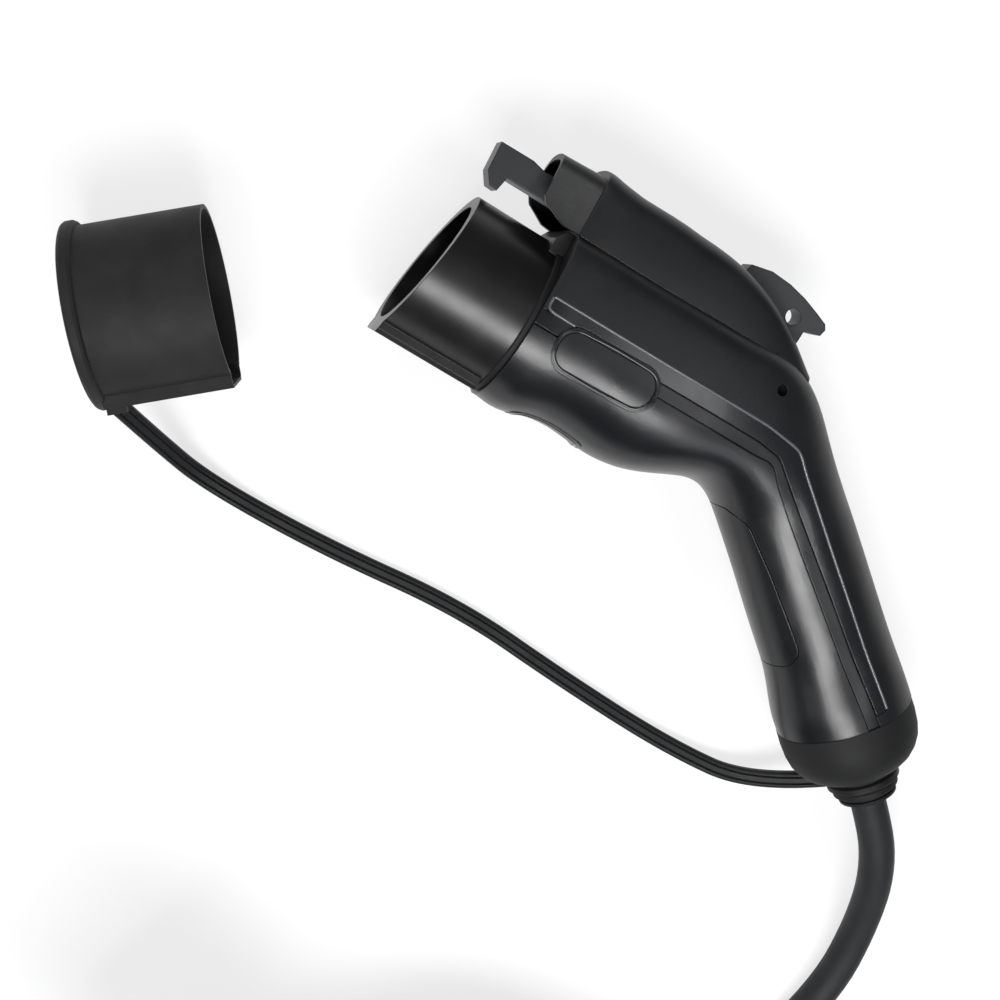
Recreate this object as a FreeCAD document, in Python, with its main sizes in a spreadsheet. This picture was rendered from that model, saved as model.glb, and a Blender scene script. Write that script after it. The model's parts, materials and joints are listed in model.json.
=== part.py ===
import FreeCAD, Part
import math
import os
from types import SimpleNamespace
import Sketcher

# Charging connector on its cable, with a dust cap on a strap and a second plug at the far end.
# Row frame in millimetres: the mating barrel's axis is X and the connector mates towards -X,
# the latch is on the +Y side, and Z points up from the surface that the object lies on.

V = FreeCAD.Vector
os.makedirs("parts", exist_ok=True)
doc = FreeCAD.newDocument("EvChargingCable")

SIZES = [
    ("barrel_diameter", 43.8, "outside of the mating barrel"),
    ("barrel_wall", 3.4, "wall of the mating barrel"),
    ("rim_lean", 3.4, "how far the slanted rim leads and trails at the barrel's skin"),
    ("key_half_width", 10.3, "half the width of the flat key under the barrel"),
    ("key_reach", 0.9, "how far the key's flat stands below the round"),
    ("housing_front", 29.0, "front face of the housing"),
    ("carrier_front", 30.0, "front face of the contact carrier's disc"),
    ("carrier_back", 38.0, "back face of the contact carrier's disc"),
    ("tower_front", 9.0, "front end of the towers round the contacts"),
    ("tower_wall", 1.6, "wall of a tower"),
    ("power_pin_diameter", 3.6, "pin that a power or earth contact takes"),
    ("earth_pin_diameter", 2.8, "pin that the earth contact takes"),
    ("signal_pin_diameter", 1.5, "pin that a signal contact takes"),
    ("power_core_diameter", 3.3, "insulated core of a power contact"),
    ("earth_core_diameter", 2.6, "insulated core of the earth contact"),
    ("signal_core_diameter", 1.7, "insulated core of a signal contact"),
    ("contact_depth", 16.0, "depth of a contact's bore"),
    ("housing_wall", 3.0, "wall of the housing shells"),
    ("housing_margin", 2.1, "housing outside the barrel at its sides"),
    ("handle_radius", 18.2, "radius of the round handle"),
    ("handle_end_radius", 20.0, "radius of the handle at the end cap"),
    ("handle_angle", 40.2, "angle that the handle drops below the barrel's axis"),
    ("handle_length", 73.0, "handle from the elbow point to the end cap"),
    ("elbow_along", 115.6, "elbow point of the handle's axis, along the barrel"),
    ("elbow_drop", 1.4, "elbow point of the handle's axis, below the barrel's axis"),
    ("pad_thickness", 1.5, "thickness of the side pads, the underside pad and the grip insert"),
    ("trim_thickness", 1.15, "thickness of the glossy side trims"),
    ("cover_wall", 2.0, "wall of the latch cover"),
    ("lever_width", 8.0, "width of the latch lever"),
    ("latch_pin_diameter", 3.0, "pin that the latch lever turns on"),
    ("pivot_along", 50.0, "latch pin, along the barrel"),
    ("pivot_height", 33.5, "latch pin, above the barrel's axis"),
    ("padlock_hole_diameter", 4.6, "hole through the thumb paddle"),
    ("cable_diameter", 10.6, "outside of the cable's sheath"),
    ("gland_diameter", 19.4, "larger ring of the gland nut"),
    ("strap_width", 5.0, "width of the flat strap"),
    ("strap_thickness", 3.2, "thickness of the flat strap"),
    ("cap_diameter", 46.2, "outside of the dust cap"),
    ("cap_wall", 1.15, "wall of the dust cap"),
    ("cap_length", 36.0, "dust cap from its flange to its rim"),
    ("cap_flange_diameter", 49.2, "flange of the dust cap"),
    ("cap_flange_thickness", 3.6, "flange of the dust cap"),
    ("coil_radius", 61.0, "middle of the turns of the put-away coil"),
    ("coil_rows", 4.0, "rows of turns on each other"),
    ("coil_columns", 3.0, "turns beside each other"),
    ("turn_pitch", 10.8, "distance from one turn to the next"),
    ("floor_depth", 24.0, "surface that the object lies on, below the barrel's axis"),
    ("far_plug_diameter", 55.0, "outside of the far plug"),
    ("far_plug_length", 176.0, "length of the far plug without its gland"),
]

sheet = doc.addObject("Spreadsheet::Sheet", "Sizes")
for row, (name, value, meaning) in enumerate(SIZES, start=1):
    sheet.set("A%d" % row, meaning)
    sheet.set("B%d" % row, str(value))
    sheet.setAlias("B%d" % row, name)
doc.recompute()


class Size:
    """A length that knows its value and the sheet expression behind it."""

    def __init__(self, text, value):
        self.text = text
        self.value = float(value)

    def join(self, sign, other, value, swapped=False):
        pair = (text_of(other), self.text) if swapped else (self.text, text_of(other))
        return Size("(%s %s %s)" % (pair[0], sign, pair[1]), value)

    def __add__(self, other):
        return self.join("+", other, self.value + value_of(other))

    def __radd__(self, other):
        return self.join("+", other, self.value + value_of(other), True)

    def __sub__(self, other):
        return self.join("-", other, self.value - value_of(other))

    def __rsub__(self, other):
        return self.join("-", other, value_of(other) - self.value, True)

    def __mul__(self, other):
        return self.join("*", other, self.value * value_of(other))

    def __rmul__(self, other):
        return self.join("*", other, self.value * value_of(other), True)

    def __truediv__(self, other):
        return self.join("/", other, self.value / value_of(other))

    def __neg__(self):
        return Size("(-1 * %s)" % self.text, -self.value)


def value_of(number):
    return number.value if isinstance(number, Size) else float(number)


def text_of(number):
    return number.text if isinstance(number, Size) else "%.4f" % number


dim = SimpleNamespace()
for name, value, meaning in SIZES:
    setattr(dim, name, Size("Sizes." + name, sheet.get(name)))

barrel_radius = dim.barrel_diameter / 2
lift = barrel_radius.value - 21.9
FLOOR = -dim.floor_depth.value


# Helpers

def plane(body, role):
    return [item for item in body.Origin.OriginFeatures if item.Role == role][0]


def bind(item, prop, size):
    setattr(item, prop, value_of(size))
    if isinstance(size, Size):
        item.setExpression(prop, size.text)


def place(item, base, turn=None):
    item.Placement = FreeCAD.Placement(V(*base), turn or FreeCAD.Rotation())


def new_body(label, base=(0, 0, 0), turn=None):
    body = doc.addObject("PartDesign::Body", label)
    body.Label = label
    place(body, base, turn)
    return body


def new_sketch(body, name, role, offset=0):
    sketch = body.newObject("Sketcher::SketchObject", name)
    sketch.AttachmentSupport = [(plane(body, role), "")]
    sketch.MapMode = "FlatFace"
    sketch.AttachmentOffset = FreeCAD.Placement(V(0, 0, value_of(offset)), FreeCAD.Rotation())
    if isinstance(offset, Size):
        sketch.setExpression("AttachmentOffset.Base.z", offset.text)
    return sketch


def pin_point(sketch, index, end, point):
    for kind, part in zip(("DistanceX", "DistanceY"), point):
        if value_of(part) == 0 and not isinstance(part, Size):
            axis = -2 if kind == "DistanceX" else -1
            sketch.addConstraint(Sketcher.Constraint("PointOnObject", index, end, axis))
            continue
        number = sketch.addConstraint(Sketcher.Constraint(kind, -1, 1, index, end, value_of(part)))
        if isinstance(part, Size):
            sketch.setExpression("Constraints[%d]" % number, part.text)


def draw(sketch, corners):
    """A closed outline through corners, each one held by its sizes."""
    flat = [V(value_of(a), value_of(b), 0) for a, b in corners]
    first = sketch.GeometryCount
    count = len(flat)
    for index in range(count):
        line = Part.LineSegment(flat[index], flat[(index + 1) % count])
        sketch.addGeometry(line, False)
    for index in range(count):
        after = first + (index + 1) % count
        sketch.addConstraint(Sketcher.Constraint("Coincident", first + index, 2, after, 1))
    for index, corner in enumerate(corners):
        pin_point(sketch, first + index, 1, corner)


def draw_circles(sketch, circles):
    for across, up, radius in circles:
        centre = V(value_of(across), value_of(up), 0)
        index = sketch.addGeometry(Part.Circle(centre, V(0, 0, 1), value_of(radius)), False)
        pin_point(sketch, index, 3, (across, up))
        number = sketch.addConstraint(Sketcher.Constraint("Radius", index, value_of(radius)))
        if isinstance(radius, Size):
            sketch.setExpression("Constraints[%d]" % number, radius.text)


def turn_profile(body, corners, name="Profile", angle=360, kind="Revolution"):
    sketch = new_sketch(body, name, "XY_Plane")
    draw(sketch, corners)
    feature = body.newObject("PartDesign::" + kind, "Turned" + name)
    feature.Profile = sketch
    feature.ReferenceAxis = (plane(body, "X_Axis"), [""])
    feature.Angle = angle
    return feature


def turned(label, corners, base=(0, 0, 0), turn=None, angle=360):
    body = new_body(label, base, turn)
    turn_profile(body, corners, "Profile", angle)
    return body


def pad(body, sketch, name, length, middle=False):
    feature = body.newObject("PartDesign::Pad", name)
    feature.Profile = sketch
    bind(feature, "Length", length)
    feature.Midplane = middle
    return feature


def pocket(body, sketch, name, length=None, middle=False, reverse=False):
    feature = body.newObject("PartDesign::Pocket", name)
    feature.Profile = sketch
    if length is None:
        feature.Type = "ThroughAll"
    else:
        bind(feature, "Length", length)
    feature.Midplane = middle
    feature.Reversed = reverse
    return feature


def feature(label, shape):
    item = doc.addObject("Part::Feature", label)
    item.Label = label
    item.Shape = shape
    return item


def rounded(points, radius):
    """A closed outline in the XY plane whose corners are rounded."""
    points = [V(*p, 0) if len(p) == 2 else V(*p) for p in points]
    radii = radius if isinstance(radius, (list, tuple)) else [radius] * len(points)
    ends, edges = [], []
    for index, corner in enumerate(points):
        before, after = points[index - 1], points[(index + 1) % len(points)]
        back, ahead = before.sub(corner), after.sub(corner)
        opening = back.getAngle(ahead)
        cut = radii[index] / math.tan(opening / 2) if opening < math.pi - 0.01 else 0
        cut = min(cut, 0.45 * back.Length, 0.45 * ahead.Length)
        back.normalize()
        ahead.normalize()
        start, end = corner + back * cut, corner + ahead * cut
        if cut > 0.01:
            half = opening / 2
            reach = cut / math.cos(half) - cut * math.tan(half)
            inward = (back + ahead).normalize()
            ends.append((start, end, corner + inward * reach))
        else:
            ends.append((corner, corner, None))
    for index, (start, end, middle) in enumerate(ends):
        if middle is not None:
            edges.append(Part.Arc(start, middle, end).toShape())
        following = ends[(index + 1) % len(ends)][0]
        if end.distanceToPoint(following) > 1e-4:
            edges.append(Part.LineSegment(end, following).toShape())
    return Part.Face(Part.Wire(edges))


def prism(points, low=-60.0, high=60.0, radius=0.0):
    face = rounded(points, radius)
    face.translate(V(0, 0, low))
    return face.extrude(V(0, 0, high - low))


def rod(start, end, radius):
    start, end = V(*start), V(*end)
    return Part.makeCylinder(radius, start.distanceToPoint(end), start, end.sub(start))


def runs_and_arcs(points):
    """Straight runs joined by arcs that touch both runs, with the tightest radius."""
    points = [V(*p) for p in points]
    edges, tightest, start = [], 1e9, points[0]
    for before, corner, after in zip(points, points[1:], points[2:]):
        back, ahead = before.sub(corner), after.sub(corner)
        opening = back.getAngle(ahead)
        cut = 0.45 * min(back.Length, ahead.Length)
        tightest = min(tightest, cut * math.tan(opening / 2))
        back.normalize()
        ahead.normalize()
        first, last = corner + back * cut, corner + ahead * cut
        reach = cut / math.cos(opening / 2) - cut * math.tan(opening / 2)
        middle = corner + (back + ahead).normalize() * reach
        edges.append(Part.LineSegment(start, first).toShape())
        edges.append(Part.Arc(first, middle, last).toShape())
        start = last
    edges.append(Part.LineSegment(start, points[-1]).toShape())
    return Part.Wire(edges), tightest


def tube(name, points, radius):
    path, tightest = runs_and_arcs(points)
    start, ahead = V(*points[0]), V(*points[1]).sub(V(*points[0]))
    section = Part.Wire([Part.Circle(start, ahead, radius).toShape()])
    solid = path.makePipeShell([section], True, False)
    ratio = solid.Volume / (math.pi * radius ** 2 * path.Length)
    print("%s: length %.1f mm, tightest radius %.1f mm, volume ratio %.4f"
          % (name, path.Length, tightest, ratio))
    return solid


# Handle frame: its local X runs down the handle, its local Y points to the handle's back

HANDLE_TURN = FreeCAD.Rotation(V(0, 0, 1), -dim.handle_angle.value)
HANDLE_BASE = V(dim.elbow_along.value, -dim.elbow_drop.value, 0)
HANDLE_STRETCH = dim.handle_length.value / 73.0


def on_handle(along, out=0.0, side=0.0):
    return HANDLE_BASE + HANDLE_TURN.multVec(V(along * HANDLE_STRETCH, out, side))


def flat(point):
    return (point.x, point.y)


# Housing surface: closed sections along a bent spine, seen from the barrel to the end cap

NOSE_HALF = barrel_radius.value + dim.housing_margin.value
NOSE_SECTIONS = [
    # along, height, lean of the plane, down, up, half width as a share of the nose, squareness
    (29.0, 0.0, 0.0, 23.7, 27.0, 0.988, 1.00),
    (32.5, 0.0, 0.0, 24.0, 27.1, 1.000, 1.00),
    (38.0, 0.0, 0.0, 23.8, 27.3, 1.000, 1.00),
    (44.0, 0.0, 0.0, 22.1, 27.4, 1.000, 1.00),
    (54.0, 0.0, 0.0, 21.3, 27.5, 1.000, 1.00),
    (64.0, 0.0, 0.0, 22.1, 27.7, 1.000, 1.00),
    (74.0, 0.0, 0.0, 21.0, 27.9, 0.992, 1.00),
    (84.0, 0.2, -3.0, 17.9, 28.2, 0.967, 0.94),
    (94.0, 0.8, -11.0, 15.2, 28.7, 0.917, 0.72),
    (103.5, 0.4, -22.0, 14.8, 25.1, 0.866, 0.36),
    (112.0, -1.9, -32.0, 16.1, 20.7, 0.825, 0.12),
]
HANDLE_SECTIONS = [
    # along the handle, front, back, half width as a share of the handle, squareness
    (6.0, 1.010, 0.985, 1.035, 0.02),
    (16.0, 1.000, 1.010, 1.005, 0.00),
    (28.0, 1.000, 1.030, 0.995, 0.00),
    (42.0, 1.000, 1.045, 0.995, 0.00),
    (54.0, 1.005, 1.065, 1.000, 0.00),
]
FLARE_SECTIONS = [(60.5, 0.955, 0.985, 0.950), (67.0, 0.995, 1.000, 0.990), (73.0, 0.995, 1.008, 1.000)]
LOWER_ANGLES = [-90, -67.5, -45, -22.5]
SQUARE_TOP = [(1.0, 0.0), (0.984, 0.24), (0.952, 0.46), (0.912, 0.68), (0.850, 0.84), (0.700, 0.945),
              (0.460, 0.985), (0.230, 1.0), (0.0, 1.003)]
ROUND_TOP = [0, 14, 27, 42, 53, 64, 74, 82, 90]


def unit_top(squareness):
    pairs = []
    for (across, up), angle in zip(SQUARE_TOP, ROUND_TOP):
        angle = math.radians(angle)
        pairs.append((squareness * across + (1 - squareness) * math.cos(angle),
                      squareness * up + (1 - squareness) * math.sin(angle)))
    return pairs


def section(x, y, lean, down, up, half, squareness):
    """One closed section of the housing, as points from its bottom, up the +Z side and round."""
    right = []
    for angle in LOWER_ANGLES:
        angle = math.radians(angle)
        right.append((half * math.cos(angle), down * math.sin(angle)))
    right += [(half * across, up * rise) for across, rise in unit_top(squareness)]
    left = [(-across, rise) for across, rise in right[1:-1][::-1]]
    lean = math.radians(lean)
    points = [V(x - rise * math.sin(lean), y + rise * math.cos(lean), across)
              for across, rise in right + left]
    curve = Part.BSplineCurve()
    curve.interpolate(Points=points, PeriodicFlag=True)
    return Part.Wire([curve.toShape()])


def all_sections():
    rows = []
    for along, height, lean, down, up, share, squareness in NOSE_SECTIONS:
        fade = max(0.0, min(1.0, (112.0 - along) / 30.0))
        down += lift * fade
        up += lift * fade
        half = NOSE_HALF * share + (lift * (fade - 1) if fade < 1 else 0)
        rows.append((along, height, lean, down, up, half, squareness))
    angle = -dim.handle_angle.value
    radius, end = dim.handle_radius.value, dim.handle_end_radius.value
    for along, front, back, share, squareness in HANDLE_SECTIONS:
        base = on_handle(along)
        rows.append((base.x, base.y, angle, front * radius, back * radius, share * radius,
                     squareness))
    for along, front, back, share in FLARE_SECTIONS:
        base = on_handle(along)
        rows.append((base.x, base.y, angle, front * end, back * end, share * end, 0.0))
    return rows


def housing_solid(inset, first=0, run_out=0.0):
    """The housing's surface moved inwards by inset, as a solid."""
    wires = []
    rows = all_sections()[first:]
    if run_out:
        last = list(rows[-1])
        base = HANDLE_TURN.multVec(V(run_out, 0, 0))
        last[0] += base.x
        last[1] += base.y
        rows.append(tuple(last))
    for x, y, lean, down, up, half, squareness in rows:
        wires.append(section(x, y, lean, down - inset, up - inset, half - inset, squareness))
    return Part.makeLoft(wires, True, False, False)


# Lines of the housing's side view: parting line, lip and trim, from the nose down the handle

def side_line(nose, handle):
    return [(x, y) for x, y in nose] + [flat(on_handle(along, out)) for along, out in handle]


LINE_BEND = 7.0
LIP_HANDLE = [(-9.6, -2.2), (-4.0, -2.0), (12.9, -0.6), (30.8, 0.7), (50.8, 1.9)]
PARTING = side_line([(15, 0), (60, 0), (99, 0.6)],
                    [(-8.8, -4.1), (-3.2, -4.6), (12.2, -3.7), (29.6, -2.6), (49.6, -1.4), (90, 1.1)])
LIP = side_line([(15, 4.3), (37, 4.3), (66, 3.5), (99, 4.0)], LIP_HANDLE + [(90, 4.6)])
TRIM_TOP = side_line([(30.2, 8.5), (70, 8.7), (99, 9.2)],
                     [(-9.4, 4.4), (-2.6, 4.2), (16.3, 5.1), (34.1, 5.8), (52.1, 6.5), (69.5, 7.2)])
TRIM_BOTTOM = side_line([(30.2, 4.3), (37, 4.3), (66, 3.5), (99, 4.0)], LIP_HANDLE + [(70, 3.2)])


def bends(line):
    """Corner radii of a side line whose two ends stay sharp."""
    return [0] + [LINE_BEND] * (len(line) - 2) + [0]


def below(line):
    return prism(line + [(line[-1][0], -150), (15, -150)], radius=bends(line) + [0, 0])


def above(line):
    corners = [(line[-1][0] + 60, line[-1][1]), (line[-1][0] + 60, 90), (15, 90)]
    return prism(line + corners, radius=bends(line) + [0, 0, 0])


def between(low_line, high_line):
    return prism(low_line + high_line[::-1], radius=bends(low_line) + bends(high_line))


def lowered(line, drop):
    return [(x, y - drop) for x, y in line]


def stadium(length, width, low, high, centre=(51.8, -1.0), tilt=2.0):
    """An upright prism with round ends, for a side pad."""
    half, radius = length / 2, width / 2
    corners = [(-half, -radius), (half, -radius), (half, radius), (-half, radius)]
    solid = prism(corners, low, high, radius * 0.97)
    solid.rotate(V(0, 0, 0), V(0, 0, 1), tilt)
    solid.translate(V(centre[0], centre[1], 0))
    return solid


def underside_window(length, width):
    """A prism along Y with round corners, for the underside pad."""
    half, side = length / 2, width / 2
    solid = prism([(-half, -side), (half, -side), (half, side), (-half, side)], 0, 30, 3.0)
    solid.rotate(V(0, 0, 0), V(1, 0, 0), 90)
    solid.translate(V(50.5, -10, 0))
    return solid


def grip_window(shrink):
    corners = [(-4, -26), (1.0 + shrink, -17.4), (7.4 + shrink / 2, -13.5 - shrink),
               (21.7, -12.1 - shrink), (37.7, -11.2 - shrink), (46.5 - shrink, -10.9 - shrink),
               (50.0 - shrink, -14.0), (50.0 - shrink, -17.5), (45.5 - shrink, -26)]
    points = [flat(on_handle(along, out)) for along, out in corners]
    return prism(points, -60, 60, [0, 2, 6, 20, 20, 5, 5, 4, 0])


# Latch cover: a tapered hood in front of a long rounded cover

HOOD = [(16.6, 43.2, 11.7), (22.5, 43.4, 13.9), (30.2, 43.7, 16.9)]
COVER = [
    (28.9, 45.4, 17.4), (41.0, 46.1, 17.8), (54.0, 46.5, 17.8), (68.0, 45.6, 17.6),
    (77.4, 43.0, 17.2), (88.7, 38.5, 16.4), (99.7, 32.0, 14.6), (105.8, 27.8, 12.8),
]
COVER_BASE = 22.0


def arch_solid(rows, inset, before=0.0, after=0.0):
    """A solid with an arched section that stands on the cover's base plane."""
    rows = [(x, top + lift - inset, half - inset) for x, top, half in rows]
    rows[0] = (rows[0][0] - before,) + rows[0][1:]
    rows[-1] = (rows[-1][0] + after,) + rows[-1][1:]
    base = COVER_BASE + lift
    wires = []
    for x, top, half in rows:
        right = [V(x, base + (top - base) * rise, half * across) for across, rise in unit_top(0.9)]
        points = right + [V(p.x, p.y, -p.z) for p in right[:-1][::-1]]
        curve = Part.BSplineCurve()
        curve.interpolate(Points=points)
        wires.append(Part.Wire([curve.toShape(), Part.LineSegment(points[-1], points[0]).toShape()]))
    return Part.makeLoft(wires, True, False, False)


def raised(points):
    return [(x, y + lift) for x, y in points]


PIVOT = V(dim.pivot_along.value, dim.pivot_height.value + lift, 0)
DECK = 27.7 + lift
SWITCH_ALONG = 60.0
GASKET_REACH = 0.55


def cut_all(shape, tools):
    for tool in tools:
        shape = shape.cut(tool)
    return shape


SIDES = (("left", 5, 60), ("right", -60, -5))


def housing_layers():
    """The housing's surface at each depth that a piece or a pocket ends at."""
    wall, thin, pad_depth = dim.housing_wall.value, dim.trim_thickness.value, dim.pad_thickness.value
    return SimpleNamespace(
        outer=housing_solid(0.0),
        inner=housing_solid(wall, 1, 3.0),
        rim=housing_solid(-0.25),
        trim_face=housing_solid(0.12),
        lip_face=housing_solid(0.5),
        trim_floor=housing_solid(0.12 + thin, 0, 2.0),
        pad_floor=housing_solid(pad_depth, 0, 2.0),
    )


def build_shells(layers):
    radius = barrel_radius.value
    front = dim.housing_front.value
    bore = rod((10, 0, 0), (dim.carrier_back.value + 0.2, 0, 0), radius + 0.05)
    bore = bore.fuse(rod((front + 3.95, 0, 0), (front + 6.05, 0, 0), radius + 0.75))
    bore = bore.fuse(rod((front - 1.7, 0, 0), (front, 0, 0), radius + GASKET_REACH + 0.05))
    hollow = layers.outer.cut(layers.inner).cut(bore)
    windows = [stadium(31.0, 12.9, low, high) for name, low, high in SIDES]
    openings = [stadium(28.8, 10.7, low - 1, high + 1) for name, low, high in SIDES]
    windows.append(underside_window(22.0, 16.0))
    openings.append(underside_window(19.8, 13.8))
    pockets = [window.cut(layers.pad_floor) for window in windows]
    rings = [window.common(layers.rim).cut(layers.pad_floor).cut(opening)
             for window, opening in zip(windows, openings)]

    lower = hollow.common(below(PARTING))
    lip = layers.lip_face.cut(layers.inner).cut(bore).common(between(PARTING, LIP))
    groove = between(lowered(PARTING, 0.35), PARTING).cut(layers.trim_floor)
    lower = cut_all(lower.fuse(lip), pockets + [groove, grip_window(0.0).cut(layers.pad_floor)])
    for ring in rings:
        lower = lower.fuse(ring)

    upper = cut_all(hollow.common(above(LIP)), pockets[:2])
    upper = upper.cut(between(TRIM_BOTTOM, TRIM_TOP).cut(layers.trim_floor))
    wedge = prism(raised([(24.9, 15.0), (24.9, 22.4), (26.7, 25.4), (29.2, 25.6), (29.2, 15.0)]), -12, 12)
    upper = upper.fuse(wedge.cut(bore))
    upper = upper.cut(prism(raised([(77, 20), (101.4, 20), (101.4, 40), (77, 40)]), -4.8, 4.8))
    dot = rod((97.8, 19.2 + lift, 30), (97.8, 19.2 + lift, 17.2), 1.6)
    guide = rod((SWITCH_ALONG + 4, DECK - 1.8, 0), (SWITCH_ALONG + 4, DECK + 3, 0), 1.15)
    return lower, cut_all(upper, [dot, guide])


SCREW_LENGTH = 25.5
SCREW_PLACES = [
    (V(57.0, -19.5 - lift, 0), FreeCAD.Rotation(V(0, 0, 1), 90), 19.4 + lift, 45.5 + 2 * lift),
    (on_handle(16.0, -16.4), FreeCAD.Rotation(V(0, 0, 1), 90 - dim.handle_angle.value), 14.0, 33.0),
    (on_handle(40.0, -16.4), FreeCAD.Rotation(V(0, 0, 1), 90 - dim.handle_angle.value), 14.9, 33.0),
]


def along_screw(base, turn, low, high, radius):
    """A rod on a screw's axis, from low to high above the screw head's outer face."""
    axis = turn.multVec(V(1, 0, 0))
    return rod(tuple(base + axis * low), tuple(base + axis * high), radius)


def add_bosses(outer, lower, upper):
    for base, turn, split, top in SCREW_PLACES:
        post = along_screw(base, turn, 0.2, split - 0.05, 3.7)
        lower = lower.fuse(post)
        lower = lower.cut(along_screw(base, turn, -3.0, 2.05, 3.0))
        lower = lower.cut(along_screw(base, turn, 1.0, split + 2.0, 1.55))
        post = along_screw(base, turn, split + 0.05, top, 3.4).common(outer)
        upper = upper.fuse(post)
        upper = upper.cut(along_screw(base, turn, split - 2.0, 28.5, 1.5))
    return lower, upper


def make_housing():
    layers = housing_layers()
    lower, upper = build_shells(layers)
    lower, upper = add_bosses(layers.outer, lower, upper)
    feature("lower_shell", lower)
    feature("upper_shell", upper)
    band = between(lowered(TRIM_BOTTOM, -0.3), lowered(TRIM_TOP, 0.15))
    trims = band.common(layers.trim_face).cut(layers.trim_floor)
    for name, low, high in SIDES:
        half = Part.makeBox(300, 300, 55, V(-50, -200, low))
        feature("side_trim_" + name, trims.common(half).cut(stadium(31.3, 13.2, low - 1, high + 1)))
        feature("side_pad_" + name, stadium(28.5, 10.4, low, high).common(layers.outer).cut(layers.pad_floor))
    feature("underside_pad", underside_window(19.5, 13.5).common(layers.outer).cut(layers.pad_floor))
    feature("grip_insert", grip_window(0.25).common(layers.outer).cut(layers.pad_floor))
    return layers.outer


def make_latch_cover(deck):
    wall = dim.cover_wall.value
    outside = arch_solid(COVER, 0.0).fuse(arch_solid(HOOD, 0.0))
    hollow = arch_solid(COVER, wall, -wall, -wall).fuse(arch_solid(HOOD, wall - 0.2, 2.0, 2.0))
    low = [(10, 5), (10, 30.7), (16.6, 30.7), (18.0, 28.7), (21.0, 27.4), (24.3, 25.9),
           (29.1, 25.7), (29.1, 5)]
    cover = outside.cut(hollow).cut(deck)
    cover = cover.cut(prism(raised(low), -60, 60, [0, 0, 1.0, 2.0, 3.0, 2.0, 0, 0]))
    cover = cover.cut(Part.makeBox(120, 30, 60, V(10, -4.5 + lift, -30)))
    radius = dim.latch_pin_diameter.value / 2
    gap = dim.lever_width.value / 2 + 0.3
    for side in (1, -1):
        boss = rod((PIVOT.x, PIVOT.y, side * gap), (PIVOT.x, PIVOT.y, side * 17.0), radius + 2.0)
        cover = cover.fuse(boss.common(outside))
    cover = cover.cut(rod((PIVOT.x, PIVOT.y, -13.2), (PIVOT.x, PIVOT.y, 13.2), radius + 0.02))
    slot = prism(raised([(75.8, 30), (101.2, 25), (101.2, 60), (75.8, 60)]), -4.8, 4.8)
    feature("latch_cover", cover.cut(slot))


def make_lever():
    half = dim.lever_width / 2
    outline = [
        (0.9, 37.1), (10.8, 37.3), (15.0, 36.4), (24.0, 37.2), (44.0, 37.6), (56.0, 37.7),
        (68.0, 37.8), (76.6, 40.2), (76.6, 43.9), (77.1, 45.4), (83.2, 46.8), (89.5, 46.5),
        (95.1, 45.4), (100.5, 43.7), (104.1, 42.4), (105.0, 41.0), (104.5, 38.9), (99.8, 37.5),
        (99.7, 33.9), (97.0, 31.5), (88.0, 31.7), (72.0, 32.4), (60.0, 31.4), (56.0, 30.2),
        (44.0, 29.9), (14.4, 29.7), (7.0, 29.6), (6.2, 25.5), (3.8, 25.6), (1.4, 29.0),
    ]
    body = new_body("latch_lever")
    sketch = new_sketch(body, "Outline", "XY_Plane")
    rise = barrel_radius - 21.9
    draw(sketch, [(x, rise + y) for x, y in outline])
    pad(body, sketch, "Plate", half * 2, True)
    holes = new_sketch(body, "Holes", "XY_Plane")
    pin_hole = dim.latch_pin_diameter / 2 + 0.04
    draw_circles(holes, [
        (dim.pivot_along, dim.pivot_height + rise, pin_hole),
        (95.0, rise + 39.4, dim.padlock_hole_diameter / 2),
    ])
    pocket(body, holes, "PinAndPadlockHoles", None, True)
    return body


def make_latch_parts():
    pin_length = 26.0
    radius = dim.latch_pin_diameter / 2
    body = turned("latch_pin", [(0, 0), (0, radius - 0.3), (0.3, radius), (pin_length - 0.3, radius),
                                (pin_length, radius - 0.3), (pin_length, 0)],
                  (PIVOT.x, PIVOT.y, -pin_length / 2), FreeCAD.Rotation(V(0, 1, 0), -90))
    body.setExpression("Placement.Base.x", "Sizes.pivot_along")
    coil = Part.makeHelix(1.1, 3.6, 1.9)
    wire = Part.Wire([Part.Circle(V(1.9, 0, 0), V(0, 1, 0), 0.3).toShape()])
    spring = Part.Wire(coil.Edges).makePipeShell([wire], True, True)
    spring.rotate(V(0, 0, 0), V(1, 0, 0), -90)
    spring.translate(V(73.0, DECK + 0.55, 0))
    feature("latch_spring", spring)

    body = new_body("proximity_switch", (SWITCH_ALONG, DECK, 0))
    sketch = new_sketch(body, "Side", "XY_Plane")
    draw(sketch, [(0, 0.28), (9, 0.28), (9, 2.3), (0, 2.3)])
    pad(body, sketch, "Block", 6.0, True)
    sketch = new_sketch(body, "PlungerHole", "XZ_Plane")
    draw_circles(sketch, [(4.0, 0, 0.88)])
    pocket(body, sketch, "Guide", None, True)
    turned("switch_plunger", [(0, 0), (0, 0.8), (3.2, 0.8), (3.5, 0.5), (3.5, 0)],
           (SWITCH_ALONG + 4, DECK + 0.4, 0), FreeCAD.Rotation(V(0, 0, 1), 90))


# Barrel, seal, carrier and contacts

def key_outline(low, high, side, corner=1.2):
    """The flat key's section, with its two lower corners cut off."""
    return [(low, -side + corner), (low + corner, -side), (high, -side), (high, side),
            (low + corner, side), (low, side - corner)]


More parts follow.
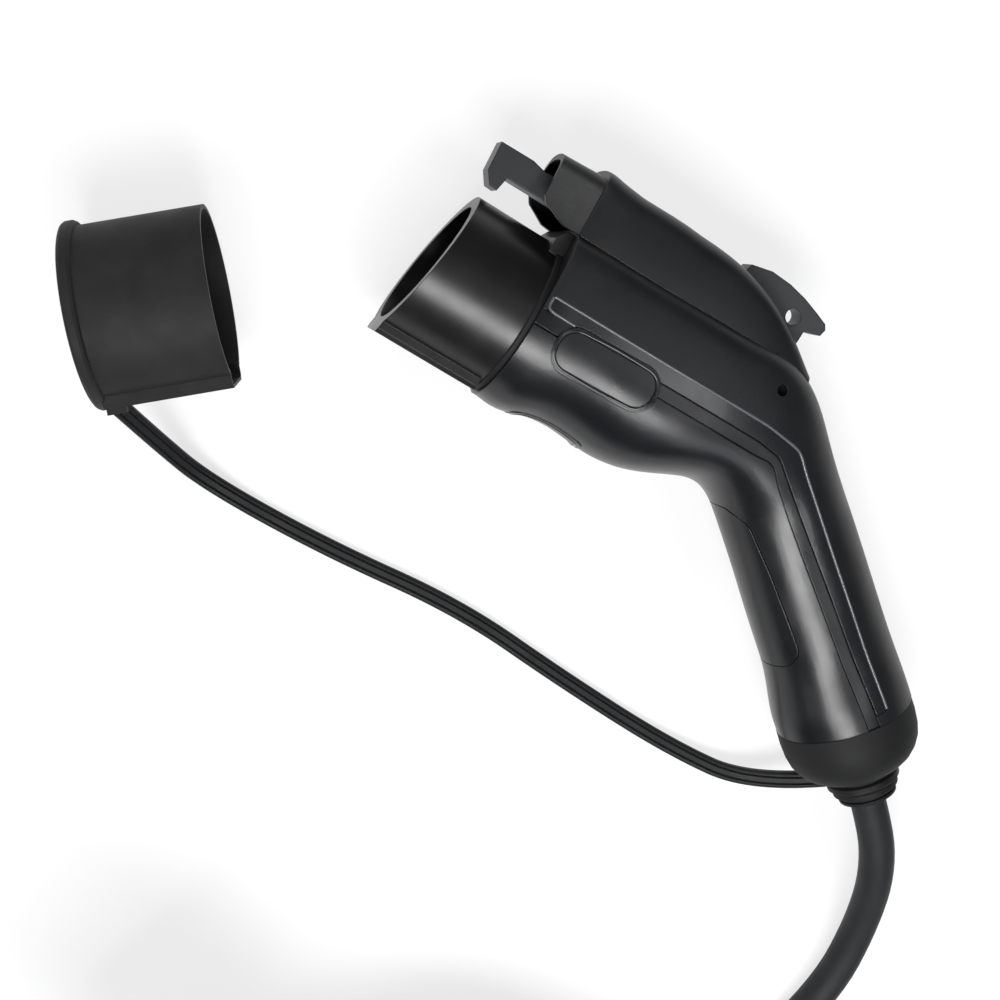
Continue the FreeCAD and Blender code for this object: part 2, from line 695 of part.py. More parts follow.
def make_barrel():
    inside = barrel_radius - dim.barrel_wall
    back = dim.carrier_back
    bead, bead_end = dim.housing_front + 4.0, dim.housing_front + 6.0
    body = new_body("barrel")
    turn_profile(body, [
        (-dim.rim_lean - 1, inside), (back, inside), (back, barrel_radius),
        (bead_end, barrel_radius), (bead_end, barrel_radius + 0.7), (bead, barrel_radius + 0.7),
        (bead, barrel_radius), (-dim.rim_lean - 1, barrel_radius),
    ])
    front = -dim.rim_lean - 1
    key = new_sketch(body, "Key", "YZ_Plane", front)
    draw(key, key_outline(-barrel_radius - dim.key_reach, -barrel_radius + 2.9, dim.key_half_width))
    pad(body, key, "KeyFlat", dim.housing_front - 1.8 - front)
    slant = new_sketch(body, "RimSlant", "XY_Plane")
    reach = dim.rim_lean * 1.5
    draw(slant, [(-reach * 3, -barrel_radius * 1.5), (-reach, -barrel_radius * 1.5),
                 (reach, barrel_radius * 1.5), (-reach * 3, barrel_radius * 1.5)])
    pocket(body, slant, "SlantedRim", None, True)
    ring = dim.housing_front
    turned("barrel_gasket", [
        (ring - 1.6, barrel_radius + 0.03), (ring - 0.05, barrel_radius + 0.03),
        (ring - 0.05, barrel_radius + GASKET_REACH), (ring - 1.3, barrel_radius + GASKET_REACH),
        (ring - 1.6, barrel_radius + GASKET_REACH - 0.25),
    ])


CONTACTS = [
    # name, across, up, pin size, step from the bore to the contact's skin, core size
    ("contact_l1", 7.85, 6.8, dim.power_pin_diameter, 1.4, dim.power_core_diameter),
    ("contact_l2", -7.85, 6.8, dim.power_pin_diameter, 1.4, dim.power_core_diameter),
    ("contact_earth", 0.0, -10.6, dim.earth_pin_diameter, 1.3, dim.earth_core_diameter),
    ("contact_pilot", 10.65, -5.6, dim.signal_pin_diameter, 1.05, dim.signal_core_diameter),
    ("contact_proximity", -10.65, -5.6, dim.signal_pin_diameter, 1.05, dim.signal_core_diameter),
]


def make_carrier():
    body = new_body("contact_carrier")
    disc = new_sketch(body, "Disc", "YZ_Plane", dim.carrier_front)
    draw_circles(disc, [(0, 0, barrel_radius - dim.barrel_wall - 0.08)])
    pad(body, disc, "DiscPad", dim.carrier_back - dim.carrier_front)
    towers = new_sketch(body, "Towers", "YZ_Plane", dim.tower_front)
    draw_circles(towers, [(up, across, pin / 2 + step + 0.05 + dim.tower_wall)
                          for name, across, up, pin, step, core in CONTACTS])
    pad(body, towers, "TowerPads", dim.carrier_front - dim.tower_front + 1)
    holes = new_sketch(body, "ContactHoles", "YZ_Plane", dim.tower_front - 1)
    draw_circles(holes, [(up, across, pin / 2 + step + 0.05)
                         for name, across, up, pin, step, core in CONTACTS])
    pocket(body, holes, "ContactPockets", dim.carrier_back - dim.tower_front + 3, False, True)


def make_contacts():
    front, back = dim.tower_front + 1, dim.carrier_back
    for name, across, up, pin, step, core in CONTACTS:
        bore = pin / 2
        outside = bore + step
        tail = outside - 0.4
        crimp = core / 2 + 0.05
        turned(name, [
            (front, bore), (front, outside), (back, outside), (back, tail), (back + 7, tail),
            (back + 7, crimp), (back - 0.5, crimp), (back - 0.5, 0),
            (front + dim.contact_depth, 0), (front + dim.contact_depth, bore),
        ], (0, up, across))


def make_cores():
    back = dim.carrier_back.value + 4.0
    cable = 76.0
    power, earth, signal = [size.value / 2 for size in
                            (dim.power_core_diameter, dim.earth_core_diameter, dim.signal_core_diameter)]
    routes = {
        "core_l1": (power, [(back, 6.8, 7.85), (60, 6.2, 7.9), (85, 3.5, 7.6), (107, -0.5, 7.0)],
                    [(18, 1.8, 6.2), (42, 1.8, 6.0), (58, 1.6, 3.4), (cable, 1.6, 1.95)]),
        "core_l2": (power, [(back, 6.8, -7.85), (60, 6.2, -7.9), (85, 3.5, -7.6), (107, -0.5, -7.0)],
                    [(18, 1.8, -6.2), (42, 1.8, -6.0), (58, 1.6, -3.4), (cable, 1.6, -1.95)]),
        "core_earth": (earth, [(back, -10.6, 0), (back + 4.6, -10.6, 0.1), (back + 12, -10.2, 5.6),
                               (66, -9.0, 7.2), (82, -6.5, 7.4), (104, -5.5, 6.6)],
                       [(18, -3.2, 6.0), (42, -3.2, 5.8), (58, -2.8, 2.4), (cable, -2.2, 0)]),
        "core_pilot": (signal, [(back, -5.6, 10.65), (60, -4.6, 10.9), (85, -2.6, 10.8), (106, -4.0, 10.4)],
                       [(18, -1.0, 9.6), (42, -1.0, 8.8), (58, -0.8, 5.8), (cable, -0.8, 3.9)]),
        "core_proximity": (signal, [(back, -5.6, -10.65), (60, -4.6, -10.9), (85, -2.6, -10.8),
                                    (106, -4.0, -9.6)],
                           [(18, -1.0, -9.2), (42, -1.0, -8.8), (58, -0.8, -5.8), (cable, -0.8, -3.9)]),
    }
    for name, (radius, nose, handle) in routes.items():
        points = list(nose) + [tuple(on_handle(*p)) for p in handle]
        feature(name, tube(name, points, radius))


def make_screws(label, places, head_radius, head, shank_radius, length):
    """Identical screws in one node: a turned screw repeated at each place."""
    screw = turned(label + "_pattern", [
        (0, 0), (0, head_radius - 0.4), (0.4, head_radius), (head, head_radius),
        (head, shank_radius), (head + length - 1, shank_radius), (head + length, 0),
    ])
    doc.recompute()
    solids = []
    for base, turn in places:
        copy = screw.Shape.copy()
        copy.Placement = FreeCAD.Placement(base, turn)
        solids.append(copy)
    feature(label, Part.makeCompound(solids))


# Handle end: end cap, clamp, seal, strap ring and gland nut, all turned about the handle's axis

def make_handle_end():
    seam = dim.handle_length + 0.06
    end_radius = dim.handle_end_radius
    cable = dim.cable_diameter / 2
    turned("end_cap", [
        (seam - 3.5, end_radius - 4.9), (seam - 3.5, end_radius - 3.2), (seam, end_radius - 3.2),
        (seam, end_radius), (seam + 4, end_radius + 0.1), (seam + 8, end_radius - 0.2),
        (seam + 11, end_radius - 0.9), (seam + 13.5, end_radius - 2.2), (seam + 15.5, end_radius - 3.9),
        (seam + 17.2, end_radius - 6.2), (seam + 18.4, end_radius - 8.6), (seam + 19.0, cable + 4.8),
        (seam + 19.5, cable + 4.8), (seam + 19.5, cable + 1.8), (seam + 15.0, cable + 1.8),
        (seam + 15.0, cable + 2.3), (seam + 8.0, cable + 2.3), (seam + 8.0, end_radius - 4.2),
        (seam + 0.4, end_radius - 4.2), (seam + 0.4, end_radius - 4.9),
    ], tuple(HANDLE_BASE), HANDLE_TURN)
    turned("gland_seal", [(seam + 8.2, cable + 0.03), (seam + 8.2, cable + 2.2),
                          (seam + 14.8, cable + 2.2), (seam + 14.8, cable + 0.03)],
           tuple(HANDLE_BASE), HANDLE_TURN)
    nut = dim.gland_diameter / 2
    start = seam + 22.2
    turned("gland_nut", [
        (seam + 15.1, cable + 0.04), (seam + 15.1, cable + 1.7), (start, cable + 1.7),
        (start, nut - 0.5), (start + 0.5, nut), (start + 1.9, nut), (start + 2.4, nut - 0.5),
        (start + 2.6, nut - 1.6), (start + 3.2, nut - 1.6), (start + 3.4, nut - 1.0),
        (start + 4.4, nut - 1.2), (start + 5.0, nut - 2.2), (start + 5.0, cable + 0.04),
    ], tuple(HANDLE_BASE), HANDLE_TURN)
    ring = turned("strap_ring", [
        (seam + 19.65, cable + 1.8), (seam + 19.65, nut + 0.6), (seam + 20.1, nut + 1.1),
        (seam + 21.6, nut + 1.1), (seam + 22.05, nut + 0.6), (seam + 22.05, cable + 1.8),
    ], tuple(HANDLE_BASE), HANDLE_TURN)
    ring.Label = "strap_ring"
    clamp = new_body("cable_clamp", tuple(HANDLE_BASE), HANDLE_TURN)
    block = new_sketch(clamp, "Block", "YZ_Plane", seam + 1.0)
    draw(block, [(-13, -6.5), (13, -6.5), (13, 6.5), (-13, 6.5)])
    pad(clamp, block, "BlockPad", 6.9)
    holes = new_sketch(clamp, "ClampHoles", "YZ_Plane", seam)
    draw_circles(holes, [(0, 0, cable + 0.02), (9.6, 0, 1.6), (-9.6, 0, 1.6)])
    pocket(clamp, holes, "CableAndScrewHoles", 12.0, False, True)


def make_clamp_screw_holes():
    cap = doc.getObject("end_cap")
    holes = new_sketch(cap, "ClampScrewHoles", "YZ_Plane", dim.handle_length + 7)
    draw_circles(holes, [(9.6, 0, 1.3), (-9.6, 0, 1.3)])
    pocket(cap, holes, "ClampThreads", 6.4, False, True)


# Cable, coil, tail and strap: points of the routes, chosen by hand

COIL_CENTRE = (147.0, -260.0)
CABLE_ROUTE = [
    (174.0, -50.8, 0.0), (197.3, -70.5, 0.0), (211.3, -84.1, -3.0), (221.2, -101.6, -12.0),
    (225.3, -127.5, -18.0), (217.1, -157.0, -18.7), (219.5, -191.0, -18.7), (223.5, -227.0, -18.7),
    (224.2, -260.0, -18.7),
]
TAIL_ROUTE = [
    (147.0, -182.8, 13.7), (190.0, -181.3, 14.2), (233.0, -184.5, 18.0), (261.4, -206.7, 25.0),
    (268.9, -241.9, 33.0), (252.0, -273.7, 41.0), (218.6, -287.2, 47.0), (184.5, -276.1, 47.0),
]
STRAP_ROUTE = [
    (-50.0, -73.5, 1.4), (-38.8, -81.1, -10.0), (-18.5, -87.2, -22.4), (20.6, -84.8, -22.4),
    (62.1, -79.8, -22.4), (100.1, -85.3, -22.4), (139.3, -87.4, -22.2), (168.3, -83.6, -17.5),
    (183.7, -67.4, -8.2),
]


def make_cables():
    radius = dim.cable_diameter.value / 2
    cable = tube("cable", CABLE_ROUTE, radius)
    tail = tube("cable_tail", TAIL_ROUTE, radius)
    feature("cable", cable)
    feature("cable_tail", tail)
    width = dim.coil_columns.value * dim.turn_pitch.value - 0.2 + dim.turn_pitch.value * 0.9
    height = dim.coil_rows.value * dim.turn_pitch.value - 0.2
    middle = dim.coil_radius.value
    low, high = middle - width / 2, middle + width / 2
    face = rounded([(low, 0), (high, 0), (high, height), (low, height)], radius)
    face.rotate(V(0, 0, 0), V(1, 0, 0), 90)
    coil = face.revolve(V(0, 0, 0), V(0, 0, 1), 360)
    coil.translate(V(COIL_CENTRE[0], COIL_CENTRE[1], FLOOR))
    feature("cable_coil", coil.cut(cable).cut(tail))


def make_strap():
    path, tightest = runs_and_arcs(STRAP_ROUTE[::-1])
    start, second = V(*STRAP_ROUTE[-1]), V(*STRAP_ROUTE[-2])
    across = V(0, 0, 1).cross(second.sub(start)).normalize()
    up = V(0, 0, 1)
    half, thick = dim.strap_width.value / 2, dim.strap_thickness.value / 2
    corners = [start + across * a + up * b for a, b in
               ((-half, -thick), (half, -thick), (half, thick), (-half, thick))]
    wire = Part.makePolygon(corners + [corners[0]])
    shell = Part.BRepOffsetAPI.MakePipeShell(path)
    shell.setBiNormalMode(V(0, 0, 1))
    shell.add(wire)
    shell.build()
    shell.makeSolid()
    solid = shell.shape()
    ratio = solid.Volume / (4 * half * thick * path.Length)
    print("cap_strap: length %.1f mm, tightest radius %.1f mm, volume ratio %.4f"
          % (path.Length, tightest, ratio))
    feature("cap_strap", solid)


# Dust cap: its local X points out of its mouth

CAP_TURN = FreeCAD.Rotation(V(0, 0, 1), 40.7).multiply(FreeCAD.Rotation(V(0, 1, 0), -7.5))


def make_dust_cap():
    outside, inside = dim.cap_diameter / 2, dim.cap_diameter / 2 - dim.cap_wall
    flange, thick = dim.cap_flange_diameter / 2, dim.cap_flange_thickness
    base = (-69.4, -58.0, FLOOR + flange.value + 0.25)
    body = turned("dust_cap", [
        (0, 0), (0, flange - 1.0), (0.3, flange - 0.4), (1.0, flange), (thick - 1.0, flange),
        (thick - 0.3, flange - 0.4), (thick, flange - 1.0), (thick, outside),
        (dim.cap_length, outside), (dim.cap_length, inside), (3.0, inside), (3.0, 0),
    ], base, CAP_TURN)
    slot_low = -barrel_radius - dim.key_reach - 0.05
    side = dim.key_half_width + 0.15
    key = new_sketch(body, "Key", "YZ_Plane", thick - 1.0)
    draw(key, key_outline(slot_low - 0.8, -barrel_radius + 2.9, side + 0.8, 1.5))
    pad(body, key, "KeyFlat", dim.cap_length - thick + 1.0)
    slot = new_sketch(body, "KeySlot", "YZ_Plane", 5.0)
    draw(slot, key_outline(slot_low, -inside + 4.0, side))
    pocket(body, slot, "KeyRoom", 60.0, False, True)
    lug = new_sketch(body, "Lug", "XY_Plane")
    low, high = -flange - 1.3, slot_low - 0.2
    draw(lug, [(1.8, low), (1.8, high), (7.0, high), (7.0, low)])
    pad(body, lug, "StrapLug", 6.4, True)


# Far plug: its local X runs from its gland to its mouth

FAR_TURN = FreeCAD.Rotation(V(0, 0, 1), 162.0)
FAR_BASE = (188.5, -277.4, 47.0)
FAR_PINS = [(0, 0), (8.0, 3.2), (-8.0, 3.2), (5.0, -7.2), (-5.0, -7.2)]
FAR_SIGNAL_PINS = [(5.2, 11.2), (-5.2, 11.2)]


def make_far_plug():
    radius, length = dim.far_plug_diameter / 2, dim.far_plug_length
    cable = dim.cable_diameter / 2
    split = length - 56.0
    outline = [
        (0.1, cable + 3.2), (0.1, 13.0), (14.0, 15.0), (32.0, 20.5), (52.0, radius - 2.0),
        (66.0, radius), (split, radius), (split, radius - 3.0), (66.0, radius - 3.0),
        (52.0, radius - 5.0), (32.0, 17.0), (14.0, 11.8), (8.0, 11.0), (8.0, cable + 3.2),
    ]
    for label, tilt in (("far_shell_upper", 0), ("far_shell_lower", 180)):
        turn = FAR_TURN.multiply(FreeCAD.Rotation(V(1, 0, 0), tilt))
        turned(label, outline, FAR_BASE, turn, 180)
    body = turned("far_nose", [
        (split + 0.1, radius - 6.0), (split + 0.1, radius - 0.6), (length, radius - 0.6),
        (length, radius - 3.8), (split + 20.0, radius - 3.8), (split + 20.0, radius - 6.0),
    ], FAR_BASE, FAR_TURN)
    top = new_sketch(body, "FlatTop", "YZ_Plane", split + 4.0)
    wide = 20.0
    draw(top, [(-wide, radius - 3.4), (wide, radius - 3.4), (wide, radius + 4), (-wide, radius + 4)])
    pocket(body, top, "FlatTopCut", 80.0, False, True)
    insert = new_body("far_insert", FAR_BASE, FAR_TURN)
    disc = new_sketch(insert, "Disc", "YZ_Plane", split - 6.0)
    draw_circles(disc, [(0, 0, radius - 6.1)])
    pad(insert, disc, "DiscPad", 44.0)
    holes = new_sketch(insert, "PinHoles", "YZ_Plane", split - 7.0)
    draw_circles(holes, [(y, z, 3.6) for y, z in FAR_PINS] + [(y, z, 2.2) for y, z in FAR_SIGNAL_PINS])
    pocket(insert, holes, "PinPockets", 60.0, False, True)
    groups = (("far_power_contacts", FAR_PINS, 3.55, 3.0), ("far_signal_contacts", FAR_SIGNAL_PINS, 2.15, 1.5))
    for label, places, outside, bore in groups:
        contact = turned(label + "_pattern", [
            (split - 12.0, 0), (split - 12.0, outside - 0.6), (split - 6.0, outside - 0.6),
            (split - 6.0, outside), (split + 34.0, outside), (split + 34.0, bore),
            (split + 12.0, bore), (split + 12.0, 0),
        ])
        doc.recompute()
        solids = []
        for y, z in places:
            copy = contact.Shape.copy()
            base = V(*FAR_BASE) + FAR_TURN.multVec(V(0, y, z))
            copy.Placement = FreeCAD.Placement(base, FAR_TURN)
            solids.append(copy)
        feature(label, Part.makeCompound(solids))
    turned("far_gland_nut", [
        (-9.0, cable + 0.05), (-9.0, cable + 2.2), (-8.0, cable + 3.4), (0.0, cable + 5.2),
        (0.0, cable + 3.1), (7.9, cable + 3.1), (7.9, cable + 0.05),
    ], FAR_BASE, FAR_TURN)


make_barrel()
make_carrier()
make_contacts()
make_cores()
make_latch_cover(make_housing())
make_lever()
make_latch_parts()
make_handle_end()
make_clamp_screw_holes()
make_screws("housing_screws", [(base, turn) for base, turn, split, top in SCREW_PLACES],
            2.9, 2.0, 1.45, SCREW_LENGTH)
clamp_places = [(on_handle(0) + HANDLE_TURN.multVec(V(dim.handle_length.value - 0.95, side * 9.6, 0)),
                 HANDLE_TURN) for side in (1, -1)]
make_screws("clamp_screws", clamp_places, 2.6, 2.0, 1.25, 12.0)
make_cables()
make_strap()
make_dust_cap()
make_far_plug()
doc.recompute()

# Check every object, then write one file for each named sub-part

written = 0
for item in doc.Objects:
    if "Invalid" in item.State or "Error" in item.State:
        raise RuntimeError("%s is not built: %s" % (item.Name, item.State))
    wanted = item.TypeId == "PartDesign::Body" or item.TypeId == "Part::Feature"
    if not wanted or item.Label.endswith("_pattern"):
        continue
    shape = item.Shape
    if shape.isNull() or not shape.isValid() or shape.Volume <= 0:
        raise RuntimeError("%s has no sound shape" % item.Label)
    box = shape.BoundBox
    print("%-20s solids %d volume %9.1f  x %7.1f %7.1f  y %7.1f %7.1f  z %6.1f %6.1f" % (
        item.Label, len(shape.Solids), shape.Volume, box.XMin, box.XMax, box.YMin, box.YMax,
        box.ZMin, box.ZMax))
    shape.exportStep("parts/%s.step" % item.Label)
    written += 1
print("written", written)
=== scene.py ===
import json
import math

import bmesh
import bpy
from mathutils import Matrix, Vector


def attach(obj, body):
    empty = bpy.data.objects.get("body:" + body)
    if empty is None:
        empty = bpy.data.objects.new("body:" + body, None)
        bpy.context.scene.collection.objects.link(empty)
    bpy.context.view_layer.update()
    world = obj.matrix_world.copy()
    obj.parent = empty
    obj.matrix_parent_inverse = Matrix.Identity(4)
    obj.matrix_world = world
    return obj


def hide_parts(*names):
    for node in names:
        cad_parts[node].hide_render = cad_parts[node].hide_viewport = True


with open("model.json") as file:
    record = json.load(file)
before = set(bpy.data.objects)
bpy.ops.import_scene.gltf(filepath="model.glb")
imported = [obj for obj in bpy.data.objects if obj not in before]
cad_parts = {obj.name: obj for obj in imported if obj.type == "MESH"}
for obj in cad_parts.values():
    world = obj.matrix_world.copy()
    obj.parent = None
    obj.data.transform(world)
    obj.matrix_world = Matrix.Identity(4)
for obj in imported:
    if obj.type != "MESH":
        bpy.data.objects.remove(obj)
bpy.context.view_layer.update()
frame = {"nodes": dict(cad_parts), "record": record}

# Lengths are in metres. Those that are multiplied by MM are in millimetres.
MM = 0.001
FLOOR = -0.024
SAME_PLACE = 0.000001
SKYWARD = Vector((0, 0, 1))
WHITE = (1, 1, 1)

scene = bpy.context.scene
nodes = frame["nodes"]
slot_of = {s["node"]: s["material_slot"] for s in frame["record"]["subparts"]}


def add_object(name, data):
    """A new object in the scene that shows the data."""
    obj = bpy.data.objects.new(name, data)
    scene.collection.objects.link(obj)
    return obj


def add_mesh(name, bm):
    """A new object in the scene with the bmesh as its mesh. The bmesh is freed."""
    mesh = bpy.data.meshes.new(name)
    bm.to_mesh(mesh)
    bm.free()
    return add_object(name, mesh)


def join_rings(bm, rings):
    """Faces between each ring of vertices and the next."""
    for a, b in zip(rings, rings[1:]):
        for i in range(len(a)):
            j = (i + 1) % len(a)
            bm.faces.new((a[i], a[j], b[j], b[i]))


# Camera, fitted to the outlines in the photograph

CAMERA_PLACE = (-59.592, -24.446, 454.289)
CAMERA_RIGHT = (0.8416, 0.5087, 0.1814)
CAMERA_BACK = (-0.2366, 0.0454, 0.9705)
LENS, SENSOR_WIDTH = 61.45, 36
SHIFT_UP = 0.0028
NEAREST, FARTHEST = 0.01, 20


def make_camera():
    right = Vector(CAMERA_RIGHT).normalized()
    back = Vector(CAMERA_BACK).normalized()
    up = back.cross(right).normalized()
    right = up.cross(back)
    turn = Matrix((right, up, back)).transposed()
    camera = add_object("camera", bpy.data.cameras.new("camera"))
    camera.data.sensor_width = SENSOR_WIDTH
    camera.data.lens = LENS
    camera.data.shift_y = SHIFT_UP
    camera.data.clip_start = NEAREST
    camera.data.clip_end = FARTHEST
    camera.matrix_world = Matrix.Translation(Vector(CAMERA_PLACE) * MM) @ turn.to_4x4()
    scene.camera = camera


make_camera()


# Node graphs

class Graph:
    """A material's nodes, with short calls to add and join them."""

    def __init__(self, name):
        self.material = bpy.data.materials.new(name)
        self.material.use_nodes = True
        self.tree = self.material.node_tree
        self.tree.nodes.clear()
        self.out = self.tree.nodes.new("ShaderNodeOutputMaterial")

    def node(self, kind, inputs=None, **settings):
        """A new node. An input is joined to the socket given for it, or takes the value."""
        made = self.tree.nodes.new("ShaderNode" + kind)
        for key, value in settings.items():
            setattr(made, key, value)
        for key, value in (inputs or {}).items():
            if isinstance(value, bpy.types.NodeSocket):
                self.tree.links.new(value, made.inputs[key])
            else:
                made.inputs[key].default_value = value
        return made

    def noise(self, scale, detail=2.0, vector=None):
        """Cloudy noise in the object's own space, or in the space of the vector."""
        place = vector or self.node("TexCoord").outputs["Object"]
        made = self.node("TexNoise", {"Vector": place, "Scale": scale, "Detail": detail,
                                      "Roughness": 0.55})
        return made.outputs["Fac"]

    def spread(self, value, low, high, start=0.3, end=0.7):
        """The value's span from start to end, stretched to run from low to high."""
        made = self.node("MapRange", {"Value": value, "From Min": start, "From Max": end,
                                      "To Min": low, "To Max": high})
        return made.outputs["Result"]

    def tint(self, value, dark, pale):
        """A colour between dark at 0 and pale at 1."""
        ramp = self.node("ValToRGB", {"Fac": value})
        ramp.color_ramp.elements[0].color = (*dark, 1)
        ramp.color_ramp.elements[1].color = (*pale, 1)
        return ramp.outputs["Color"]

    def bump(self, height, strength, distance, edge=0.0):
        """A bumped normal, on edges that look rounded by edge millimetres."""
        inputs = {"Height": height, "Strength": strength, "Distance": distance}
        if edge:
            bevel = self.node("Bevel", {"Radius": edge * MM}, samples=4)
            inputs["Normal"] = bevel.outputs[0]
        return self.node("Bump", inputs).outputs["Normal"]

    def finish(self, shader):
        self.tree.links.new(shader, self.out.inputs["Surface"])
        return self.material


# Scales of the noises count waves to a metre. Grain sizes are in millimetres.
CLOUD_SCALE, RUB_SCALE = 34.0, 95.0
DUST_SCALE, WEAR_SCALE = 60.0, 130.0
TARNISH_SCALE = 210.0
TURNING_MARKS = (9000, 500, 500)
PIT_DEPTH, TOOTH_DEPTH, MARK_DEPTH = 0.00006, 0.00008, 0.00002
DUST_TINT = 0.012


def plastic(name, colour, rough, grain=0.0, grain_size=0.35, specular=0.5, coat=0.0, edge=0.4):
    """Moulded plastic: cloudy colour and gloss, fine pitted grain and softly rounded edges."""
    g = Graph(name)
    cloud = g.spread(g.noise(CLOUD_SCALE, 3.0), 0.0, 1.0)
    dark = [c * 0.90 for c in colour]
    pale = [c * 1.12 for c in colour]
    rub = g.spread(g.noise(RUB_SCALE, 4.0), rough - 0.035, rough + 0.045)
    inputs = {"Base Color": g.tint(cloud, dark, pale), "Roughness": rub, "IOR": 1.46,
              "Specular IOR Level": specular}
    if coat:
        inputs["Coat Weight"] = coat
        inputs["Coat Roughness"] = 0.08
    pits = g.noise(1.0 / (grain_size * MM), 2.0)
    inputs["Normal"] = g.bump(pits, grain, PIT_DEPTH, edge)
    return g.finish(g.node("BsdfPrincipled", inputs).outputs[0])


def rubber(name, colour, rough, grain_size=0.5, grain=0.5, dust=0.25, specular=0.42):
    """Soft rubber: matte, with pale dusty patches and a fine tooth."""
    g = Graph(name)
    patches = g.spread(g.noise(DUST_SCALE, 5.0), 0.0, 1.0, 0.42, 0.72)
    pale = [c + DUST_TINT * dust for c in colour]
    tooth = g.noise(1.0 / (grain_size * MM), 3.0)
    wear = g.spread(g.noise(WEAR_SCALE, 3.0), rough - 0.05, rough + 0.05)
    inputs = {"Base Color": g.tint(patches, colour, pale), "Specular IOR Level": specular,
              "Roughness": wear, "Normal": g.bump(tooth, grain, TOOTH_DEPTH),
              "Sheen Weight": 0.05, "Sheen Roughness": 0.4}
    return g.finish(g.node("BsdfPrincipled", inputs).outputs[0])


def metal(name, colour, rough):
    """Plated metal with fine turning marks."""
    g = Graph(name)
    place = g.node("TexCoord").outputs["Object"]
    lines = g.node("Mapping", {"Vector": place, "Scale": TURNING_MARKS}).outputs["Vector"]
    marks = g.noise(1.0, 2.0, lines)
    tarnish = g.spread(g.noise(TARNISH_SCALE, 4.0), 0.0, 1.0)
    inputs = {"Base Color": g.tint(tarnish, [c * 0.82 for c in colour], colour),
              "Metallic": 1.0, "Roughness": g.spread(marks, rough - 0.06, rough + 0.08),
              "Normal": g.bump(marks, 0.25, MARK_DEPTH)}
    return g.finish(g.node("BsdfPrincipled", inputs).outputs[0])


MATERIALS = {
    "matte_plastic": plastic("housing_matte", (0.0046, 0.0049, 0.0059), 0.43,
                             grain=0.50, grain_size=0.42),
    "satin_plastic": plastic("housing_satin", (0.0052, 0.0055, 0.0068), 0.30,
                             grain=0.26, grain_size=0.38),
    "gloss_plastic": plastic("trim_gloss", (0.0085, 0.0090, 0.0108), 0.24, grain=0.05,
                             grain_size=0.5, specular=0.6, coat=0.3, edge=0.5),
    "barrel_plastic": plastic("barrel_satin", (0.0045, 0.0043, 0.0043), 0.33,
                              grain=0.20, grain_size=0.35),
    "soft_rubber": rubber("soft_rubber", (0.0050, 0.0050, 0.0056), 0.60,
                          dust=0.15, specular=0.25),
    "cable_sheath": rubber("cable_sheath", (0.0110, 0.0118, 0.0135), 0.62,
                           grain_size=0.45, grain=0.7, specular=0.25),
    "carrier_plastic": plastic("carrier_plastic", (0.012, 0.012, 0.0125), 0.45, grain=0.3),
    "contact_metal": metal("contact_metal", (0.78, 0.77, 0.74), 0.28),
    "steel": metal("steel", (0.56, 0.57, 0.60), 0.34),
    "core_brown": rubber("core_brown", (0.16, 0.07, 0.03), 0.45),
    "core_blue": rubber("core_blue", (0.03, 0.09, 0.33), 0.45),
    "core_green": rubber("core_green", (0.07, 0.27, 0.05), 0.45),
    "core_black": rubber("core_black", (0.012, 0.012, 0.012), 0.45),
}
DUST_CAP = rubber("cap_rubber", (0.0070, 0.0067, 0.0066), 0.66,
                  grain_size=0.6, grain=0.55, dust=0.5, specular=0.26)
END_CAP = plastic("end_cap_matte", (0.0068, 0.0069, 0.0075), 0.66,
                  grain=0.6, grain_size=0.5, specular=0.28)
# A pale grey far lighter than the trim: a painted highlight for the light that the trims' edges
# catch.
PAINTED_HIGHLIGHT_EDGE = plastic("edge_painted_highlight", (0.0750, 0.0780, 0.0840), 0.24,
               grain_size=0.5, specular=0.6, coat=0.3, edge=0.0)
BEAD = plastic("bead_gloss", (0.0100, 0.0105, 0.0120), 0.16,
               grain_size=0.5, specular=0.6, coat=0.3, edge=0.0)
# Near-black, far darker than the housing: painted shade for the bottom of the blind hole.
PAINTED_SHADE = rubber("recess_painted_shade", (0.0015, 0.0015, 0.0016), 0.80,
              grain_size=0.6, grain=0.3, dust=0.0, specular=0.10)
LEVER = plastic("lever_matte", (0.0190, 0.0197, 0.0218), 0.40,
                grain=0.5, grain_size=0.4, edge=0.7)
STRAP = rubber("strap_rubber", (0.0046, 0.0048, 0.0056), 0.56,
               grain_size=0.45, grain=0.4, dust=0.15, specular=0.24)
OWN_MATERIAL = {"dust_cap": DUST_CAP, "latch_lever": LEVER, "end_cap": END_CAP,
                "gland_nut": END_CAP, "far_gland_nut": END_CAP}


# The frame's nodes, smooth where their solids are smooth

WELD_DISTANCE = 0.000004
SHARP_ANGLE, STRAP_SHARP_ANGLE = 28, 40


def smooth(obj, angle=SHARP_ANGLE):
    """Smooth faces, with a crease at each edge that is sharper than the angle."""
    mesh = obj.data
    if "custom_normal" in mesh.attributes:
        mesh.attributes.remove(mesh.attributes["custom_normal"])
    mesh.polygons.foreach_set("use_smooth", [True] * len(mesh.polygons))
    weld = obj.modifiers.new("weld", "WELD")
    weld.merge_threshold = WELD_DISTANCE
    split = obj.modifiers.new("edges", "EDGE_SPLIT")
    split.split_angle = math.radians(angle)


def dress(obj, material):
    obj.data.materials.clear()
    obj.data.materials.append(material)


for name, obj in nodes.items():
    smooth(obj)
    dress(obj, OWN_MATERIAL.get(name, MATERIALS[slot_of[name]]))


# Beads, and pale edges that carry a painted highlight, laid along the rims of the pads and
# trims

# A rim lies between an outer face and a wall, told apart by how much each faces outwards.
# The walls of a trim are also told apart by how much they face its latch side or the handle.
OUTER_FACING, WALL_FACING = 0.6, 0.3
HANDLEWARDS = Vector((0.7638, -0.6455, 0.0))
LATCHWARDS = Vector((0.6455, 0.7638, 0.0))
SIDE_FACING, REAR_FACING = 0.5, 0.85
FRONT_END = 0.044
BEAD_STEP = 0.0008
